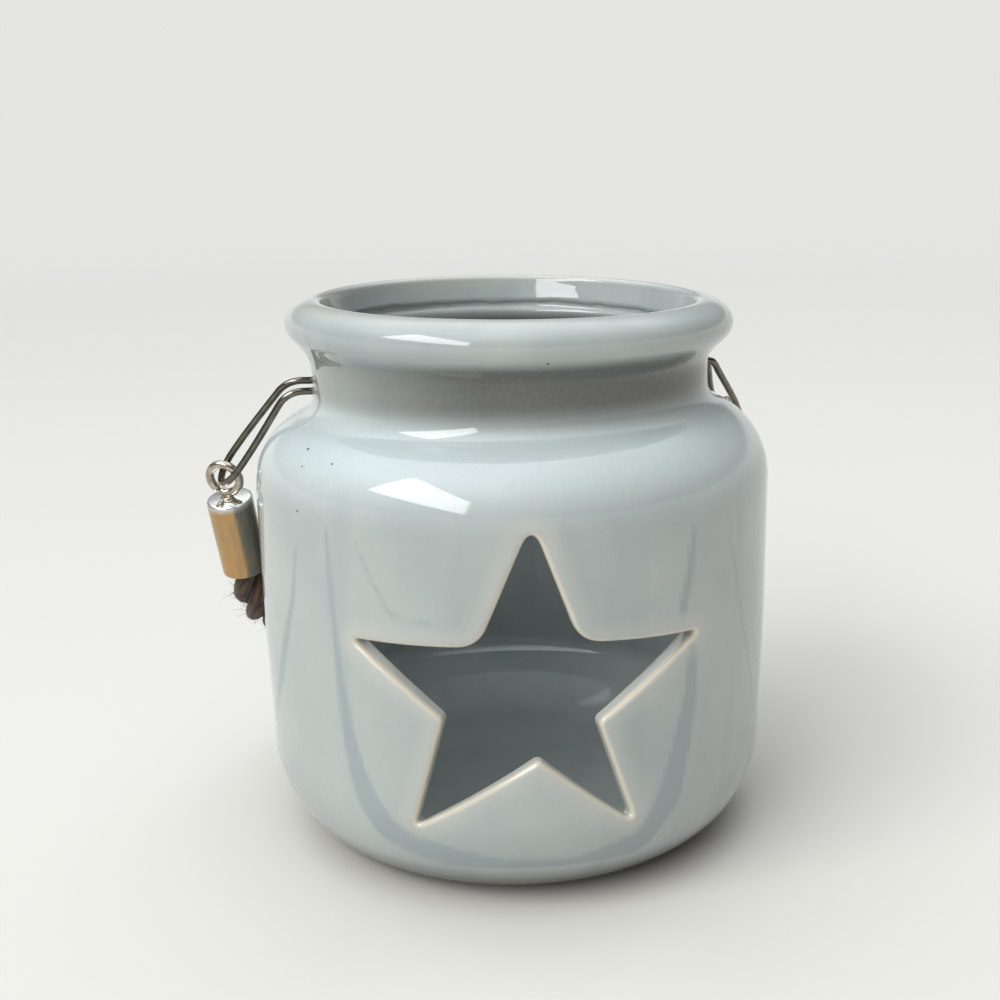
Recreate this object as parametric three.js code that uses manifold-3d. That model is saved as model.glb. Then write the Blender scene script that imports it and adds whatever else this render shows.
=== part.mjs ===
// A ceramic tea light holder with a star window and a rope handle on two wire links.
// Millimetres, +Z up, origin at the centre of the flat base.
// The star faces -Y and the handle's holes lie near the X axis.
import * as THREE from "three";
import { mergeVertices } from "three/addons/utils/BufferGeometryUtils.js";
import Module from "manifold-3d";

const wasm = await Module();
wasm.setup();

// Outside of the jar, as radius and height from the foot upwards.
const FOOT_RADIUS = 33.9;
const CORNER_HEIGHT = 19.1; // the rounded foot corner ends here
const LOW_WALL_RADIUS = 49.4;
const BELLY_HEIGHT = 46;
const BODY_RADIUS = 50;
const SHOULDER_CENTRE = { r: 35.2, z: 70.3 };
const NECK_RADIUS = 38.2;
const NECK_FILLET = 4.5; // the hollow round between shoulder and neck
const NECK_HIGH = 92;
const BEAD_CENTRE = { r: 36.9, z: 99.9 };
const BEAD_HALF = { r: 5.92, z: 4.3 };
const BEAD_SWEEP = { from: -39, to: 90 }; // degrees, from the neck up to the top
const LIP_RADIUS = 1.2; // the crisp inner edge of the rim

// Inside of the jar.
const FLOOR_HEIGHT = 7;
const INNER_CORNER_HEIGHT = 18; // the wall ends here in a tight round
const INNER_CORNER_RADIUS = 4;
const INNER_CORNER_SWEEP = 55; // degrees; from there the floor dishes down to its flat middle
const CAVITY_RADIUS = 46.4;
const INNER_SHOULDER_RADIUS = 11.2;
const INNER_SHOULDER_SWEEP = 76; // degrees
const RIM_BORE_RADIUS = 34.4;
const RIM_BORE_LOW = 99;
const NECK_BORE_RADIUS = 34;
const NECK_BORE_HIGH = 98.2;
const NECK_BORE_LOW = 84.6;
const NECK_BORE_ROUNDING = 3.6;
const NECK_EDGE_SWEEP = { from: 180, to: 262 }; // degrees, from the bore into the cavity

// The pot isn't quite true: its shoulder sags on the left, fading out between these heights,
// and its rim leans down to the right and stands higher at the back.
const SAG = 1.2;
const SAG_HEIGHTS = { from: 72, full: 85, to: 96 };
const RIM_LEAN = 0.6;
const RIM_RISE = 0.9;
const RIM_LEAN_HEIGHTS = { from: 92, full: 98 };

// Fineness of the faceted forms.
const LATHE_SEGMENTS = 64;
const ARC_STEPS = 7;
const BEAD_STEPS = 8;
const SMALL_ARC_STEPS = 4;
const STAR_ROUND_STEPS = 5;
const HOLE_SIDES = 24;
const CAP_SEGMENTS = 32;
const RING_SIDES = 10;
const RING_STEPS = 28;
const WIRE_SIDES = 8;
const WIRE_STEPS = 110;
const LEG_POINTS = 34;
const ROPE_SIDES = 10;
const ROPE_STEPS = 72;

// Star window: sharp corners as x and z with the radius that rounds each.
// Its cut faces point at the jar's axis.
const STAR_CORNERS = [
  { x: 0.3, z: 72.6, round: 1.9 },
  { x: 8.3, z: 51.4, round: 6 },
  { x: 30.1, z: 49.5, round: 0.6 },
  { x: 11.4, z: 36.5, round: 1.5 },
  { x: 18.2, z: 16.4, round: 0.8 },
  { x: 1, z: 30.4, round: 1.5 },
  { x: -21, z: 16.6, round: 0.8 },
  { x: -15.2, z: 37.7, round: 1.5 },
  { x: -30.5, z: 50.2, round: 0.6 },
  { x: -9, z: 51, round: 6 },
];
const STAR_FACE_RADIUS = 49.7; // the jar radius that the corners are measured on
const STAR_CUT = { from: 30, to: 60 }; // the cutter's flat ends, as distances in front of the axis
const STAR_EDGE_STEP = 5;

// Holes in the neck. The right one sits higher, and is turned to the back by some degrees.
const LEFT_HOLE = { side: -1, height: 88, turn: 0 };
const RIGHT_HOLE = { side: 1, height: 89.7, turn: 12 };
const HOLE_RADIUS = 3;
const HOLE_FROM = 30;
const HOLE_TO = 42;

// Wire links. Each is a loop of wire whose two legs go through a hole and turn apart behind it.
// The centre line goes straight out to reach, bends down by droop and runs straight to the tip.
// Lean turns the hanging direction to the back, twist turns the loop about its own length,
// and stack is the slope of the line from leg to leg in the hole. Angles are in degrees,
// measured before the loop is turned with its hole.
const WIRE_RADIUS = 0.7;
const LOOP_START = 36.5;
const LOOP_LENGTH = 30.8;
const LOOP_WIDENS_FROM = 38;
const LOOP_CLOSES_AT = 0.81; // share of the length
const LOOP_CLOSING_POWER = 2.2;
const LOOP_TWIST_LENGTH = 20;
const LEG_HALF_GAP = 1.28;
const LOOP_HALF_WIDTH = 3.08;
const TAIL = [
  { out: 34.3, spread: 0 },
  { out: 32.9, spread: 0 },
  { out: 32.1, spread: 0.45 },
  { out: 31.7, spread: 1.3 },
  { out: 31.7, spread: 3 },
];
const LEFT_LOOP = {
  hole: LEFT_HOLE,
  reach: 40.3,
  bend: 5.8,
  lean: 11.6,
  droop: 53.8,
  twist: 20.7,
  stack: 43.4,
};
const RIGHT_LOOP = {
  hole: RIGHT_HOLE,
  reach: 40.6,
  bend: 2.6,
  lean: 43.5,
  droop: 61.5,
  twist: -42.1,
  stack: 0,
};

// Eye rings and end caps. A cap is placed by its ring's centre and by the direction from ring to rope.
const RING_RADIUS = 3.15;
const RING_WIRE_RADIUS = 0.88;
const RING_TO_CAP = RING_RADIUS + RING_WIRE_RADIUS + 0.3;
const CAP_RADIUS = 4.65;
const CAP_LENGTH = 16.7;
const CAP_EDGE = 0.6;
const CAP_BORE_RADIUS = 4.15;
const CAP_BORE_DEPTH = 12;
const LEFT_RING_CENTRE = new THREE.Vector3(-57.19, 4.64, 68.98);
const LEFT_RING_NORMAL = new THREE.Vector3(0.3, 0.92, 0.27);
const LEFT_CAP_AXIS = new THREE.Vector3(0.102, 0.248, -0.964).normalize();
const RIGHT_RING_CENTRE = new THREE.Vector3(47.92, 25.59, 74.85);
const RIGHT_RING_NORMAL = new THREE.Vector3(-0.972, 0.108, 0.21);
const RIGHT_CAP_AXIS = new THREE.Vector3(-0.1, 0.62, -0.78).normalize();

// Rope: its centre line between the two caps.
const ROPE_RADIUS = 3.8;
const ROPE_IN_CAP = 11.5;
const ROPE_ROUTE = [
  [-54.5, 11.8, 43.6],
  [-53.8, 14.5, 39.8],
  [-52.6, 18.1, 36.7],
  [-50.7, 22.6, 34.2],
  [-47.8, 27.8, 31.9],
  [-43.5, 33.9, 29.5],
  [-37.6, 40.7, 26.6],
  [-32.6, 45.3, 24.5],
  [-27.1, 49.2, 22.8],
  [-21.1, 52.4, 21.4],
  [-14.8, 55, 20.4],
  [-8.2, 57.1, 19.8],
  [-1.4, 58.6, 19.6],
  [5.4, 59.5, 19.8],
  [9.9, 59.6, 20.6],
  [14.7, 59.1, 22.4],
  [19.9, 58.1, 25.2],
  [25, 56.6, 28.7],
  [30, 54.6, 32.9],
  [34.7, 52.2, 37.6],
  [38.8, 49.3, 42.7],
  [42.1, 46.1, 47.9],
  [44.5, 42.5, 53.2],
];

const radians = THREE.MathUtils.degToRad;
const UP = new THREE.Vector3(0, 0, 1);

// Points on an ellipse in the half plane of radius and height, angles in degrees.
function arc(centre, half, from, to, steps) {
  return Array.from({ length: steps + 1 }, (_, i) => {
    const angle = radians(from + ((to - from) * i) / steps);
    return new THREE.Vector2(centre.r + half.r * Math.cos(angle), centre.z + half.z * Math.sin(angle));
  });
}

function jarProfile() {
  const corner = { r: LOW_WALL_RADIUS - FOOT_RADIUS, z: CORNER_HEIGHT };
  const shoulder = BODY_RADIUS - SHOULDER_CENTRE.r;
  const neckOut = NECK_RADIUS + NECK_FILLET - SHOULDER_CENTRE.r;
  const neckUp = Math.sqrt((shoulder + NECK_FILLET) ** 2 - neckOut ** 2);
  const neckAngle = THREE.MathUtils.radToDeg(Math.atan2(neckUp, neckOut)); // where shoulder and hollow meet
  const hollow = { r: NECK_RADIUS + NECK_FILLET, z: SHOULDER_CENTRE.z + neckUp };
  const hollowRound = { r: NECK_FILLET, z: NECK_FILLET };
  const lip = { r: BEAD_CENTRE.r, z: BEAD_CENTRE.z + BEAD_HALF.z - LIP_RADIUS };
  const lipRound = { r: LIP_RADIUS, z: LIP_RADIUS };
  const neckEdge = { r: NECK_BORE_RADIUS + NECK_BORE_ROUNDING, z: NECK_BORE_LOW };
  const innerCorner = { r: CAVITY_RADIUS - INNER_CORNER_RADIUS, z: INNER_CORNER_HEIGHT };
  const cornerRound = { r: INNER_CORNER_RADIUS, z: INNER_CORNER_RADIUS };
  const cornerArc = arc(innerCorner, cornerRound, 0, -INNER_CORNER_SWEEP, ARC_STEPS);
  const cornerEnd = cornerArc[ARC_STEPS];
  const slope = radians(90 - INNER_CORNER_SWEEP);
  const dish = (cornerEnd.y - FLOOR_HEIGHT) / (1 - Math.cos(slope));
  const dishCentre = { r: cornerEnd.x - dish * Math.sin(slope), z: FLOOR_HEIGHT + dish };
  const innerShoulder = { r: CAVITY_RADIUS - INNER_SHOULDER_RADIUS, z: SHOULDER_CENTRE.z };
  const neckRound = { r: NECK_BORE_ROUNDING, z: NECK_BORE_ROUNDING };
  const shoulderRound = { r: INNER_SHOULDER_RADIUS, z: INNER_SHOULDER_RADIUS };
  return [
    new THREE.Vector2(0, 0),
    ...arc({ r: FOOT_RADIUS, z: CORNER_HEIGHT }, corner, -90, 0, ARC_STEPS),
    new THREE.Vector2(BODY_RADIUS, BELLY_HEIGHT),
    ...arc(SHOULDER_CENTRE, { r: shoulder, z: shoulder }, 0, neckAngle, ARC_STEPS),
    ...arc(hollow, hollowRound, 180 + neckAngle, 180, SMALL_ARC_STEPS).slice(1),
    new THREE.Vector2(NECK_RADIUS, NECK_HIGH),
    ...arc(BEAD_CENTRE, BEAD_HALF, BEAD_SWEEP.from, BEAD_SWEEP.to, BEAD_STEPS),
    ...arc(lip, lipRound, 90, 180, SMALL_ARC_STEPS).slice(1),
    new THREE.Vector2(RIM_BORE_RADIUS, RIM_BORE_LOW),
    new THREE.Vector2(NECK_BORE_RADIUS, NECK_BORE_HIGH),
    ...arc(neckEdge, neckRound, NECK_EDGE_SWEEP.from, NECK_EDGE_SWEEP.to, SMALL_ARC_STEPS),
    ...arc(innerShoulder, shoulderRound, INNER_SHOULDER_SWEEP, 0, ARC_STEPS),
    ...cornerArc,
    ...arc(dishCentre, { r: dish, z: dish }, -INNER_CORNER_SWEEP, -90, ARC_STEPS).slice(1),
    new THREE.Vector2(0, FLOOR_HEIGHT),
  ];
}

// A turned body whose profile's height becomes +Z. The X and Y axes cross it in the middle of a facet.
function turned(profile, segments) {
  return new THREE.LatheGeometry(profile, segments, Math.PI / segments).rotateX(Math.PI / 2);
}

// A closed outline with rounded corners, its long straight edges divided so that they can follow the wall.
function roundedOutline(corners, step) {
  const shape = new THREE.Path();
  corners.forEach((corner, i) => {
    const before = corners[(i + corners.length - 1) % corners.length];
    const after = corners[(i + 1) % corners.length];
    const here = new THREE.Vector2(corner.x, corner.z);
    const back = new THREE.Vector2(before.x, before.z).sub(here).normalize();
    const on = new THREE.Vector2(after.x, after.z).sub(here).normalize();
    const half = Math.acos(back.dot(on)) / 2;
    const reach = corner.round / Math.tan(half);
    const enter = here.clone().addScaledVector(back, reach);
    const leave = here.clone().addScaledVector(on, reach);
    if (i === 0) shape.moveTo(enter.x, enter.y);
    else shape.lineTo(enter.x, enter.y);
    shape.quadraticCurveTo(here.x, here.y, leave.x, leave.y);
  });
  const rough = shape.getPoints(STAR_ROUND_STEPS);
  return rough.flatMap((point, i) => {
    const next = rough[(i + 1) % rough.length];
    const count = Math.max(1, Math.round(point.distanceTo(next) / step));
    return Array.from({ length: count }, (_, j) => point.clone().lerp(next, j / count));
  });
}

// The star as a wedge that widens away from the jar's axis.
function starCutter() {
  const outline = new THREE.Shape(roundedOutline(STAR_CORNERS, STAR_EDGE_STEP));
  const wedge = new THREE.ExtrudeGeometry(outline, { depth: 1, steps: 1, bevelEnabled: false });
  const places = wedge.getAttribute("position");
  for (let i = 0; i < places.count; i++) {
    const x = places.getX(i);
    const front = THREE.MathUtils.lerp(STAR_CUT.from, STAR_CUT.to, places.getZ(i));
    const share = front / Math.sqrt(STAR_FACE_RADIUS ** 2 - x ** 2);
    places.setXYZ(i, share * x, -front, places.getY(i));
  }
  return wedge;
}

function holeDrill({ side, height, turn }) {
  const drill = new THREE.CylinderGeometry(HOLE_RADIUS, HOLE_RADIUS, HOLE_TO - HOLE_FROM, HOLE_SIDES);
  drill.rotateZ(Math.PI / 2);
  return drill.translate((side * (HOLE_FROM + HOLE_TO)) / 2, 0, height).rotateZ(radians(turn));
}

// Lowers the shoulder on the left, leans the rim and lifts its back.
function settled(geometry) {
  const { smoothstep } = THREE.MathUtils;
  const places = geometry.getAttribute("position");
  for (let i = 0; i < places.count; i++) {
    const z = places.getZ(i);
    const out = Math.hypot(places.getX(i), places.getY(i));
    const right = out > 0 ? places.getX(i) / out : 0;
    const back = out > 0 ? ((1 + places.getY(i) / out) / 2) ** 2 : 0;
    const above = smoothstep(z, SAG_HEIGHTS.full, SAG_HEIGHTS.to);
    const sag = smoothstep(z, SAG_HEIGHTS.from, SAG_HEIGHTS.full) * (1 - above);
    const lean = smoothstep(z, RIM_LEAN_HEIGHTS.from, RIM_LEAN_HEIGHTS.full);
    places.setZ(i, z - (SAG * sag * (1 - right)) / 2 - lean * (RIM_LEAN * right - RIM_RISE * back));
  }
  return geometry;
}

// A geometry as a solid for cutting, without the flat triangles that a lathe leaves on its axis.
function solid(geometry) {
  const plain = new THREE.BufferGeometry();
  plain.setAttribute("position", geometry.getAttribute("position"));
  plain.setIndex(geometry.getIndex());
  const welded = mergeVertices(plain, 1e-4);
  const index = welded.getIndex().array;
  const kept = [];
  for (let i = 0; i < index.length; i += 3) {
    const [a, b, c] = index.slice(i, i + 3);
    if (a !== b && b !== c && c !== a) kept.push(a, b, c);
  }
  const vertProperties = new Float32Array(welded.getAttribute("position").array);
  return new wasm.Manifold(new wasm.Mesh({ numProp: 3, vertProperties, triVerts: new Uint32Array(kept) }));
}

function geometryOf(body) {
  const mesh = body.getMesh();
  const geometry = new THREE.BufferGeometry();
  geometry.setAttribute("position", new THREE.BufferAttribute(new Float32Array(mesh.vertProperties), 3));
  geometry.setIndex(new THREE.BufferAttribute(new Uint32Array(mesh.triVerts), 1));
  geometry.computeVertexNormals();
  return geometry;
}

function jarGeometry() {
  const blank = solid(settled(turned(jarProfile(), LATHE_SEGMENTS)));
  const cutters = [starCutter(), holeDrill(LEFT_HOLE), holeDrill(RIGHT_HOLE)];
  return geometryOf(cutters.reduce((jar, cutter) => jar.subtract(solid(cutter)), blank));
}

// A round bar along a curve.
function bar(points, radius, sides, steps) {
  const corner = (_, i) => {
    const angle = (2 * Math.PI * i) / sides;
    return new THREE.Vector2(radius * Math.cos(angle), radius * Math.sin(angle));
  };
  const section = new THREE.Shape(Array.from({ length: sides }, corner));
  const extrudePath = new THREE.CatmullRomCurve3(points, false, "catmullrom");
  return new THREE.ExtrudeGeometry(section, { steps, extrudePath, bevelEnabled: false });
}

// Centre line of one wire link, from the tail of one leg round the tip to the tail of the other.
function loopPoints({ hole, reach, bend, lean, droop, twist, stack }) {
  const tilt = radians(lean);
  const fall = radians(droop);
  const roll = radians(twist);
  const radial = new THREE.Vector3(hole.side, 0, 0);
  const down = new THREE.Vector3(0, Math.sin(tilt), -Math.cos(tilt));
  const across = new THREE.Vector3(0, Math.cos(tilt), Math.sin(tilt));
  const face = radial.clone().multiplyScalar(Math.sin(fall)).addScaledVector(down, -Math.cos(fall));
  const inHole = new THREE.Vector3(0, Math.cos(radians(stack)), Math.sin(radians(stack)));
  const atTip = across.clone().multiplyScalar(Math.cos(roll)).addScaledVector(face, Math.sin(roll));
  const widest = LOOP_START + LOOP_LENGTH * LOOP_CLOSES_AT;

  function offset(along, leg) {
    const share = (along - LOOP_START) / LOOP_LENGTH;
    const closing = THREE.MathUtils.clamp((share - LOOP_CLOSES_AT) / (1 - LOOP_CLOSES_AT), 0, 1);
    const widening = THREE.MathUtils.smoothstep(along, LOOP_WIDENS_FROM, widest);
    const width = THREE.MathUtils.lerp(LEG_HALF_GAP, LOOP_HALF_WIDTH, widening);
    const turning = THREE.MathUtils.smoothstep(along, LOOP_WIDENS_FROM, LOOP_WIDENS_FROM + LOOP_TWIST_LENGTH);
    const direction = inHole.clone().lerp(atTip, turning).normalize();
    return direction.multiplyScalar(leg * width * Math.sqrt(1 - closing ** LOOP_CLOSING_POWER));
  }

  function centre(along) {
    const angle = THREE.MathUtils.clamp((along - reach) / bend, 0, fall);
    const past = Math.max(along - reach - bend * fall, 0);
    const out = Math.min(along, reach) + bend * Math.sin(angle) + past * Math.cos(fall);
    const drop = bend * (1 - Math.cos(angle)) + past * Math.sin(fall);
    return new THREE.Vector3(0, 0, hole.height).addScaledVector(radial, out).addScaledVector(down, drop);
  }

  function leg(sign) {
    const run = Array.from({ length: LEG_POINTS }, (_, i) => {
      const along = LOOP_START + LOOP_LENGTH * Math.sin((Math.PI / 2) * (i / LEG_POINTS));
      return centre(along).add(offset(along, sign));
    });
    const tail = TAIL.map(({ out, spread }) =>
      centre(out).addScaledVector(inHole, sign * (LEG_HALF_GAP + spread)),
    );
    return [...tail.reverse(), ...run];
  }

  const line = [...leg(1), centre(LOOP_START + LOOP_LENGTH), ...leg(-1).reverse()];
  return line.map((point) => point.applyAxisAngle(UP, radians(hole.turn)));
}

function capGeometry() {
  const profile = [
    new THREE.Vector2(0, 0),
    ...arc({ r: CAP_RADIUS - CAP_EDGE, z: CAP_EDGE }, { r: CAP_EDGE, z: CAP_EDGE }, -90, 0, SMALL_ARC_STEPS),
    new THREE.Vector2(CAP_RADIUS, CAP_LENGTH),
    new THREE.Vector2(CAP_BORE_RADIUS, CAP_LENGTH),
    new THREE.Vector2(CAP_BORE_RADIUS, CAP_LENGTH - CAP_BORE_DEPTH),
    new THREE.Vector2(0, CAP_LENGTH - CAP_BORE_DEPTH),
  ];
  return turned(profile, CAP_SEGMENTS);
}

function capTop(ringCentre, axis) {
  return ringCentre.clone().addScaledVector(axis, RING_TO_CAP);
}

function ropePoints() {
  const leftMouth = capTop(LEFT_RING_CENTRE, LEFT_CAP_AXIS).addScaledVector(LEFT_CAP_AXIS, CAP_LENGTH);
  const rightMouth = capTop(RIGHT_RING_CENTRE, RIGHT_CAP_AXIS).addScaledVector(RIGHT_CAP_AXIS, CAP_LENGTH);
  const inside = (mouth, axis, depth) => mouth.clone().addScaledVector(axis, -depth);
  return [
    inside(leftMouth, LEFT_CAP_AXIS, ROPE_IN_CAP),
    inside(leftMouth, LEFT_CAP_AXIS, ROPE_IN_CAP / 2),
    leftMouth,
    ...ROPE_ROUTE.map((place) => new THREE.Vector3(...place)),
    rightMouth,
    inside(rightMouth, RIGHT_CAP_AXIS, ROPE_IN_CAP / 2),
    inside(rightMouth, RIGHT_CAP_AXIS, ROPE_IN_CAP),
  ];
}

function piece(name, geometry, color, roughness, metalness) {
  const mesh = new THREE.Mesh(geometry, new THREE.MeshStandardMaterial({ color, roughness, metalness }));
  mesh.name = name;
  return mesh;
}

const GLAZE = [0xb4bdbf, 0.25, 0];
const CHROME = [0xc8c8c8, 0.15, 1];
const CORD = [0x4a2a1c, 0.9, 0];
function link(name, loop) {
  return piece(name, bar(loopPoints(loop), WIRE_RADIUS, WIRE_SIDES, WIRE_STEPS), ...CHROME);
}

function eyeRing(name, centre, normal, axis) {
  const torus = new THREE.TorusGeometry(RING_RADIUS, RING_WIRE_RADIUS, RING_SIDES, RING_STEPS);
  const ring = piece(name, torus, ...CHROME);
  const facing = normal.clone().addScaledVector(axis, -normal.dot(axis)).normalize();
  ring.quaternion.setFromUnitVectors(UP, facing);
  ring.position.copy(centre);
  return ring;
}

function endCap(name, ringCentre, axis) {
  const cap = piece(name, capGeometry(), ...CHROME);
  cap.quaternion.setFromUnitVectors(UP, axis);
  cap.position.copy(capTop(ringCentre, axis));
  return cap;
}

const holder = new THREE.Group();
holder.add(
  piece("jar_body", jarGeometry(), ...GLAZE),
  link("left_wire_link", LEFT_LOOP),
  link("right_wire_link", RIGHT_LOOP),
  eyeRing("left_eye_ring", LEFT_RING_CENTRE, LEFT_RING_NORMAL, LEFT_CAP_AXIS),
  eyeRing("right_eye_ring", RIGHT_RING_CENTRE, RIGHT_RING_NORMAL, RIGHT_CAP_AXIS),
  endCap("left_end_cap", LEFT_RING_CENTRE, LEFT_CAP_AXIS),
  endCap("right_end_cap", RIGHT_RING_CENTRE, RIGHT_CAP_AXIS),
  piece("rope_handle", bar(ropePoints(), ROPE_RADIUS, ROPE_SIDES, ROPE_STEPS), ...CORD),
);

export default holder;
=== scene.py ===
# A glazed ceramic tea light holder with a star window and a rope handle on two wire links.
# Sizes are millimetres in the part's own frame: origin at the centre of the base, +Z up,
# the star facing -Y and the handle's holes near the X axis. MM turns them into metres.
import math
import random

import bpy
import numpy as np
from mathutils import Matrix, Vector
from mathutils.geometry import delaunay_2d_cdt


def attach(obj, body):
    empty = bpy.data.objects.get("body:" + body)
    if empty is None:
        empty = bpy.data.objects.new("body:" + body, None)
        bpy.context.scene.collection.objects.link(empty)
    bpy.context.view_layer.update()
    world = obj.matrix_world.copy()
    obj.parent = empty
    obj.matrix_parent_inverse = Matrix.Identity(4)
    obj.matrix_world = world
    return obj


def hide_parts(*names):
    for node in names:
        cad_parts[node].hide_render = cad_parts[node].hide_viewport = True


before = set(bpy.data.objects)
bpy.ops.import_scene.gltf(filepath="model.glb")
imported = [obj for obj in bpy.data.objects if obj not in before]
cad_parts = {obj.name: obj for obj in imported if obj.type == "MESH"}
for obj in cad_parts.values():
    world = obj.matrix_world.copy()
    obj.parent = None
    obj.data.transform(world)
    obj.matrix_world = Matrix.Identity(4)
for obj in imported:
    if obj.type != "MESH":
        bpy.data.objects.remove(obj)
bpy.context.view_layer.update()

MM = 0.001

# Camera.
CAMERA_EYE = (-15.03, -260.68, 131.32)
CAMERA_RIGHT = (0.9983, -0.0538, -0.0203)
CAMERA_UP = (0.0331, 0.2489, 0.968)
CAMERA_LENS = 48.61
CAMERA_SENSOR = 36.0
CAMERA_NEAR = 0.01

# Outside of the jar, as radius and height from the foot upwards.
FOOT_RADIUS = 33.9
CORNER_HEIGHT = 19.1
LOW_WALL_RADIUS = 49.4
BELLY_HEIGHT = 46.0
BODY_RADIUS = 50.0
SHOULDER_CENTRE = (35.2, 70.3)
NECK_RADIUS = 38.2
NECK_FILLET = 4.5
NECK_HIGH = 92.0
BEAD_CENTRE = (36.9, 99.9)
BEAD_HALF = (5.92, 4.3)
BEAD_SWEEP = (-39.0, 90.0)
LIP_RADIUS = 1.2

# Inside of the jar.
FLOOR_HEIGHT = 7.0
INNER_CORNER_HEIGHT = 18.0
INNER_CORNER_RADIUS = 4.0
INNER_CORNER_SWEEP = 55.0
CAVITY_RADIUS = 46.4
INNER_SHOULDER_RADIUS = 11.2
INNER_SHOULDER_SWEEP = 76.0
RIM_BORE_FOOT = (34.4, 99.0)
DRIP_GROOVE = (34.85, 98.5)
NECK_BORE_RADIUS = 34.0
NECK_BORE_HIGH = 97.4
NECK_BORE_LOW = 84.6
NECK_BORE_ROUNDING = 3.6
NECK_EDGE_SWEEP = (180.0, 262.0)

# The pot isn't quite true: its shoulder sags on the left, its rim leans down to the right
# and stands higher at the back, and the edge of the rim's glaze wanders up and down inside the mouth.
SAG = 1.2
SAG_HEIGHTS = (72.0, 85.0, 96.0)
RIM_LEAN = 0.6
RIM_RISE = 0.9
RIM_LEAN_HEIGHTS = (92.0, 98.0)
DRIP_REACH = 1.6
DRIP_WAVES = [(5, 0.16, 0.4), (11, 0.12, 2.0), (23, 0.1, 1.1), (41, 0.07, 0.0)]

# Fineness of the jar's skin.
JAR_COLUMNS = 360
OUTLINE_STEP = 0.1
SAME_POINT = OUTLINE_STEP / 50
FEWEST_ARC_POINTS = 8
CURVE_POINTS = 60
BELLY_POINTS = 300
SETTLING_POINTS = 400
FINE_ROW = 0.8
LIP_ROW = 0.35
GROOVE_ROW = 0.2
WALL_ROW = 1.0
FLAT_ROW = 3.0
EDGE_ANGLES = (0.0, 22.5, 45.0, 67.5, 90.0)
EDGE_MARGIN = 0.7
GRID_CLEARANCE = 0.75
PATCH_MARGIN = 5.0
HALO_SHARE = 0.97
PATCH_TOLERANCE = 1e-6
CUT_FACE_RINGS = 3
FAR_FROM_EDGE = 50.0

# Star window: sharp corners as x, z and the radius that rounds each. The cut faces point at the axis.
STAR_CORNERS = [
    (0.3, 72.6, 1.9),
    (8.3, 51.4, 6.0),
    (30.1, 49.5, 0.6),
    (11.4, 36.5, 1.5),
    (18.2, 16.4, 0.8),
    (1.0, 30.4, 1.5),
    (-21.0, 16.6, 0.8),
    (-15.2, 37.7, 1.5),
    (-30.5, 50.2, 0.6),
    (-9.0, 51.0, 6.0),
]
STAR_FACE_RADIUS = 49.7
STAR_ROUND_STEPS = 10
STAR_EDGE_STEP = 1.2
STAR_ROUNDING_OUTSIDE = 1.0
STAR_ROUNDING_INSIDE = 0.7

# Holes in the neck: side, height, and the turn to the back in degrees.
LEFT_HOLE = (-1, 88.0, 0.0)
RIGHT_HOLE = (1, 89.7, 12.0)
HOLE_RADIUS = 3.0
HOLE_POINTS = 32
HOLE_ROUNDING_OUTSIDE = 0.6
HOLE_ROUNDING_INSIDE = 0.4

# Wire links: a loop of wire whose two legs go through a hole and turn apart behind it.
WIRE_RADIUS = 0.7
LOOP_START = 36.5
LOOP_LENGTH = 30.8
LOOP_WIDENS_FROM = 38.0
LOOP_CLOSES_AT = 0.81
LOOP_CLOSING_POWER = 2.2
LOOP_TWIST_LENGTH = 20.0
LEG_HALF_GAP = 1.28
LOOP_HALF_WIDTH = 3.08
LEG_POINTS = 34
TAIL = [(34.3, 0.0), (32.9, 0.0), (32.1, 0.45), (31.7, 1.3), (31.7, 3.0)]
LEFT_LOOP = dict(hole=LEFT_HOLE, reach=40.3, bend=5.8, lean=11.6, droop=53.8, twist=20.7, stack=43.4)
RIGHT_LOOP = dict(hole=RIGHT_HOLE, reach=40.6, bend=2.6, lean=43.5, droop=61.5, twist=-42.1, stack=0.0)
WIRE_SIDES = 18
WIRE_STEPS = 6
DOME_ANGLES = (80.0, 55.0, 30.0)

# Eye rings and end caps, placed by the ring's centre and the direction from ring to rope.
RING_RADIUS = 3.15
RING_WIRE_RADIUS = 0.88
SOLDER_GAP = 0.3
RING_TO_CAP = RING_RADIUS + RING_WIRE_RADIUS + SOLDER_GAP
RING_STEPS = 72
RING_SEAM = 34.0
RING_GAP = 31.0
RING_SIDES = 20
CAP_RADIUS = 4.65
CAP_LENGTH = 16.7
CAP_EDGE = 0.6
CAP_LIP = 0.2
CAP_BORE_RADIUS = 4.15
CAP_BORE_DEPTH = 12.0
CAP_SEGMENTS = 72
CAP_SIDE_ROWS = 6
CAP_SIDE_MARGIN = 1.0
SOLDER_HEIGHT = 0.5
SOLDER_RADIUS = 1.9
SOLDER_CROWN = 0.5
SOLDER_START = 0.15
SOLDER_ROWS = 9
LEFT_RING_CENTRE = Vector((-57.19, 4.64, 68.98))
LEFT_RING_NORMAL = Vector((0.3, 0.92, 0.27))
LEFT_CAP_AXIS = Vector((0.102, 0.248, -0.964)).normalized()
RIGHT_RING_CENTRE = Vector((47.92, 25.59, 74.85))
RIGHT_RING_NORMAL = Vector((-0.972, 0.108, 0.21))
RIGHT_CAP_AXIS = Vector((-0.1, 0.62, -0.78)).normalized()

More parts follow.
